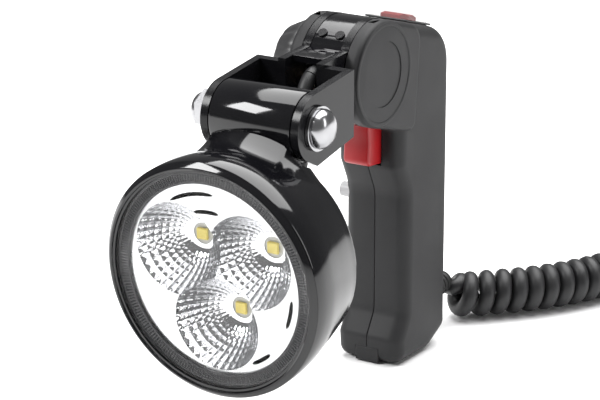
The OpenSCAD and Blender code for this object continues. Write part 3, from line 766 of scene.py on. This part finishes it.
    def build(self) -> None:
        """All of the head's pieces."""
        at_k = move(KNUCKLE)
        knuckle = rod(self.knuckle, -self.half, self.half, 0, 0, 128, 0.9).placed(at_k)
        cuts = [rod(5.5, -30, 30, 0, 0, 48), rod(14.4, self.half, 21, 0, 0, 96), rod(14.4, -21, -self.half, 0, 0, 96)]
        cuts = [c.placed(at_k) for c in (*cuts, self.pit())]
        shape = self.can() + carved(self.neck(), cuts, [knuckle])
        piece("head_can", shape, ENAMEL, Body.HEAD, ("head_housing",), 30)
        bezel = [(39.4, 0.02), (42.7, 0.02), (42.86, 0.2), (41.3, 1.8), (41.0, 1.98), (40.6, 2.0), (40.3, 1.8),
                 (40.1, 1.2), (39.4, 1.1)]
        piece("bezel", revolved(bezel + [bezel[0]], 200).placed(HEAD_FRAME), ENAMEL, Body.HEAD,
              ("front_bezel",), 30)
        lens = [(0, -0.9), (38.9, -0.9), (39.0, -0.8), (39.0, 0.9), (38.8, 1.1), (0, 1.1)]
        piece("cover_lens", revolved(lens, 160).placed(HEAD_FRAME), LENS, Body.HEAD, ("lens",))
        piece("ribbed_ring", self.ring(), RIBBED, Body.HEAD, ("mask_ring",))
        piece("silver_plate", self.plate(), SATIN_FILM, Body.HEAD, ("reflector",))
        piece("cup_walls", self.cups(), CHROME, Body.HEAD, (), 60)
        chips = None
        for ang in CUP_ANGLES:
            c = math.radians(ang)
            x, y, z = self.cup_ring * math.cos(c), self.cup_ring * math.sin(c), self.mouth_z - self.cup_depth
            pad = slab([(-2.1, 0, 0.3), (2.1, 0, 0.3), (2.1, 1.3, 0.5), (-2.1, 1.3, 0.5)], -2.1, 2.1, 0.2, 0.2)
            pad = pad.placed(move((x, y, z - 0.1)))
            chips = pad if chips is None else chips + pad
        piece("led_chips", chips.placed(HEAD_FRAME), PHOSPHOR, Body.HEAD, ("leds",))
        dressed("led_board", BOARD)
        dressed("driver_board", GREEN)
        dressed("lens_gasket", RUBBER)
        dressed("rear_seal", RUBBER)
        softened("rear_cover", CASTING, Body.HEAD, 0.35)
        dressed("cover_screws", ZINC)
        dressed("head_grommet", RUBBER)
        dressed("knuckle_bushes", BRONZE)


# ---- Yoke ----


@dataclass
class Yoke:
    """Two bent arms, the web between their ears, the tilt bolt, and the short lead."""

    lead: float = 2.75

    def lead_runs(self) -> None:
        """The short lead: from the head's back, up behind the knuckle, under the web and into the handle."""
        pts = [[3, -0.5, -26.36], [3, 5.5, -25.86], [3, 11.5, -25.36], [3, 16.4, -18.5], [3, 17.4, -6.5],
               [3, 18.4, 4.5], [3, 22.5, 10.2], [2.8, 28, 11.3], [2, 34.5, 10.8], [1, 41.5, 11.8], [0.5, 47.5, 16.7],
               [0.5, 54.5, 18.3], [0.5, 61.5, 16], [0.5, 69, 11.25], [0.5, 76.5, 6.5]]
        path = spline(pts, 0.8) + KNUCKLE
        cut = int(np.argmin(np.linalg.norm(path - (np.array(pts[6]) + KNUCKLE), axis=1)))
        ref = np.tile([1.0, 0, 0], (len(path), 1))
        for name, a, b, ends, node in (("short_lead_front", 0, cut + 1, ("head", "yoke"), "link_lead_front"),
                                       ("short_lead_rear", cut, len(path), ("yoke", "handle"), "link_lead_rear")):
            shape = swept(path[a:b], np.full(b - a, self.lead), ref[a:b], 20)
            obj = piece(name, shape, JACKET, None, (node,))
            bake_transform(obj)

    def bolt(self) -> None:
        """The tilt bolt with its smooth domed head, the washers and the domed nut."""
        at_k = move(KNUCKLE)
        a = np.radians(np.linspace(8, 78, 9))
        dome = [(7.1 * math.cos(t) ** 0.8, 4.5 * math.sin(t)) for t in a]
        head = revolved([(0, 0), (6.9, 0), (7.0, 0.3), *dome, (0, 4.45)], 64)
        right = turn("y", math.pi / 2, (21.6, 0, 0))
        shape = head.placed(right) + rod(4, -25.8, 21.6, 0, 0, 48)
        piece("tilt_bolt_look", shape.placed(at_k), ZINC, Body.YOKE, ("tilt_bolt",))
        left = turn("y", -math.pi / 2, (-21.6, 0, 0))
        hexagon = revolved([(0, 0), (7.2, 0), (7.5, 0.3), (7.5, 4.7), (6.7, 5.2), (0, 5.2)], 6)
        dome = [(6.1 * math.cos(t), 5.1 + 3.8 * math.sin(t)) for t in np.radians(np.linspace(0, 84, 10))]
        nut = hexagon + revolved([(0, 5.0), *dome, (0, 8.9)], 64)
        piece("dome_nut_look", nut.placed(left).placed(at_k), ZINC, Body.YOKE, ("dome_nut",))
        ring = [(4.05, 0.02), (7.8, 0.02), (8.0, 0.2), (8.0, 1.4), (7.8, 1.58), (4.05, 1.58)]
        both = revolved(ring + [ring[0]], 64).placed(turn("y", math.pi / 2, (20, 0, 0)))
        both = both + revolved(ring + [ring[0]], 64).placed(turn("y", -math.pi / 2, (-20, 0, 0)))
        piece("washers", both.placed(at_k), ZINC, Body.YOKE, ("bolt_washers",))

    def build(self) -> None:
        """All of the yoke's pieces."""
        softened("yoke_arm_near", POWDER, Body.YOKE, 0.45)
        softened("yoke_arm_far", POWDER, Body.YOKE, 0.45)
        softened("yoke_web", ENAMEL, Body.YOKE, 0.3)
        softened("web_screws", POWDER, Body.YOKE, 0.2)
        dressed("friction_discs", BRONZE)
        self.bolt()
        self.lead_runs()


# ---- Handle ----


@dataclass
class Handle:
    """Two grip shells with fork cheeks, the controls, the clamp knob and what is inside."""

    grip: float = 13.8
    cheek: float = 14.8

    def top(self, y: float) -> float:
        """Height of the sloping top at y."""
        return 135.5 - (y - 26.9) * math.tan(TOP_SLOPE)

    def under(self, y: float) -> float:
        """Height of the head block's underside at y."""
        return 97.66 - (y - 16.07) * math.tan(TOP_SLOPE)

    def outline(self) -> list:
        """The handle from the side: corners (y, z, radius), anticlockwise."""
        return [(36, 0.05, 4), (60, 0.05, 8), (72.3, 6, 5), (72.3, self.top(72.3), 15), (1.8, self.top(1.8), 19.3),
                (1.8, self.under(1.8), 19.3), (35, self.under(35), 2), (35, 77, 5), (40.5, 66, 12), (40.5, 19, 8),
                (35, 10, 4)]

    def block_outline(self) -> list:
        """The fork's cheek from the side, with the block behind it."""
        return [(45, self.under(45), 4), (49, self.top(49) - 0.2, 8), (1.8, self.top(1.8), 19.3),
                (1.8, self.under(1.8), 19.3)]

    def shell(self, side: int) -> Shape:
        """One shell.

        Args:
            side: 1 for the near shell at +X, -1 for the far one.

        Returns:
            The shell's shape.
        """
        body = slab(self.outline(), 0.06, self.grip, 0.35, 5.0, 8)
        cheek = slab(self.block_outline(), 6.0, self.cheek, 0.2, 2.2, 7)
        slot = rod(20.5, -20, 9.7, PIVOT[1], PIVOT[2], 128)
        front = block((-1, -20, 60), (9.7, PIVOT[1], 170))
        mouth = block((-1, 22, 77.7), (5.8, 38, 98.3))
        window = block((-1, -8, -6), (7.5, 8, 12)).placed(TOP_FRAME)
        lug = block((-1, 30, -1), (5.0, 48, 5.7))
        cutters = [slot, front, mouth, window, lug]
        outlet = revolved([(0, 60), (5.1, 60), (5.1, 80), (0, 80)], 48).placed(turn("x", -math.pi / 2, (0, 0, 15)))
        cutters.append(outlet)
        if side > 0:
            cutters.append(rod(12, self.cheek - 0.3, 30, PIVOT[1], PIVOT[2], 96))
        else:
            cutters.append(rod(3.1, 5, 30, 44.6, 63, 40))
            cutters.append(rod(16.9, self.cheek - 0.25, 30, PIVOT[1], PIVOT[2], 96))
        shape = carved(body, cutters, [cheek])
        if side > 0:
            bead = [(17.2, 0), (17.5, 0.3), (18.1, 0.42), (18.7, 0.3), (19.0, 0), (18, -0.3), (17.2, 0)]
            shape = shape + revolved(bead, 128).placed(turn("y", math.pi / 2, (self.cheek - 0.1, PIVOT[1], PIVOT[2])))
        if side < 0:
            shape = Shape(shape.points * np.array([-1, 1, 1.0]), [f[::-1] for f in shape.faces])
        return shape

    def trigger(self) -> Shape:
        """The red trigger: a slab with rounded corners and a shallow finger hollow."""
        o = [(26.2, 79.2, 2.4), (36, 78.2, 0.5), (42, 78.2, 0.2), (42, 97.8, 0.2), (36, 97.8, 0.5), (26.2, 97.2, 2.6),
             (26.9, 88, 20)]
        return slab(o, -5.5, 5.5, 1.1, 1.1, 6)

    def boot(self) -> Shape:
        """The frosted boot: a rounded lid, its outline drawn in towards the top as e (1 - cos a)."""
        a = np.linspace(0, math.pi / 2, 9)
        o = [(-8.6, -9.2, 2.8), (8.6, -9.2, 2.8), (8.6, 9.2, 2.8), (-8.6, 9.2, 2.8)]
        z = np.concatenate([[0.9], 3.4 + 2.4 * np.sin(a)])
        d = np.concatenate([[0], 2.4 * (1 - np.cos(a))])
        outlines = [rounded(inset(o, q)) for q in d]
        rows = [np.column_stack([line, np.full(len(line), h)]) for line, h in zip(outlines, z)]
        return grid(np.stack(rows), wrap=True, caps=True).placed(TOP_FRAME)

    def relief(self) -> Shape:
        """The tapered strain relief with rings round it."""
        p = [(3.15, 69.9), (5.0, 69.9), (5.0, 72.35), (6.2, 72.35), (6.4, 72.6), (6.4, 74.4), (6.1, 74.7)]
        for i in range(7):
            y, r = 75.2 + i * 2.5, 5.3 - i * 0.17
            p += [(r - 0.7, y - 0.25), (r, y), (r, y + 1.4), (r - 0.7, y + 1.7)]
        p += [(4.5, 92.5), (4.3, 92.7), (4.1, 92.7), (3.2, 87), p[0]]
        return revolved(p, 48).placed(turn("x", -math.pi / 2, (0, 0, 15)))

    def knob(self) -> Shape:
        """The clamp knob: a frustum with grip flutes, r (1 - 0.035 (0.5 + 0.5 cos 12 a)^3) at its wide end."""
        p = np.array([(0, 0), (15.6, 0), (16.4, 0.5), (16.5, 1.2), (16.3, 2.6), (15.3, 5), (13.6, 8.4), (12.9, 9.3),
                      (11.8, 9.6), (8, 9.6), (7.4, 9.1), (0, 9.1)])
        a = np.linspace(0, 2 * np.pi, 192, endpoint=False)
        weight = np.clip((p[:, 0] - 10) / 5, 0, 1)[:, None]
        r = p[:, :1] * (1 - 0.035 * weight * (0.5 + 0.5 * np.cos(12 * a)) ** 3)
        pts = np.stack([r * np.cos(a), r * np.sin(a), np.repeat(p[:, 1:], len(a), 1)], -1)
        return grid(pts, wrap=True, caps=True).placed(turn("y", -math.pi / 2, (-15.1, PIVOT[1], PIVOT[2])))

    def build(self) -> bpy.types.Object:
        """All of the handle's pieces; returns the strain relief, which goes with the lead."""
        piece("grip_near", self.shell(1), GRIP, Body.HANDLE, ("shell_near",), 32)
        piece("grip_far", self.shell(-1), GRIP, Body.HANDLE, ("shell_far",), 32)
        piece("trigger_look", self.trigger(), RED, Body.TRIGGER, ("trigger",), 40)
        piece("boot", self.boot(), BOOT, Body.HANDLE, ("switch_boot",), 50)
        softened("rocker", RED, Body.ROCKER, 0.4)
        softened("switch_frame", KNOB, Body.HANDLE, 0.3)
        relief = piece("relief", self.relief(), RUBBER, Body.HANDLE, ("strain_relief",))
        piece("knob", self.knob(), KNOB, Body.CLAMP, ("clamp_knob",), 40)
        softened("lock_button", BUTTON, Body.LOCK, 0.9)
        softened("base_lug", GRIP, Body.HANDLE, 0.5)
        for node, finish in (("pivot_bolt", ZINC), ("pivot_sleeve", ZINC), ("pivot_nut", ZINC), ("shell_screws", ZINC),
                             ("trigger_spring", ZINC), ("lock_spring", ZINC), ("trigger_switch", KNOB),
                             ("terminal_block", NYLON), ("lead_gland", KNOB)):
            dressed(node, finish)
        return relief


def main() -> None:
    """Builds the scene in order: camera and lead first, then head, yoke and handle."""
    logging.basicConfig(level=logging.INFO, format="%(message)s")
    Studio().build()
    lead = SupplyLead()
    cord, line = lead.build()
    plug = Plug().build()
    LampHead().build()
    Yoke().build()
    relief = Handle().build()


if __name__ == "__main__":
    main()
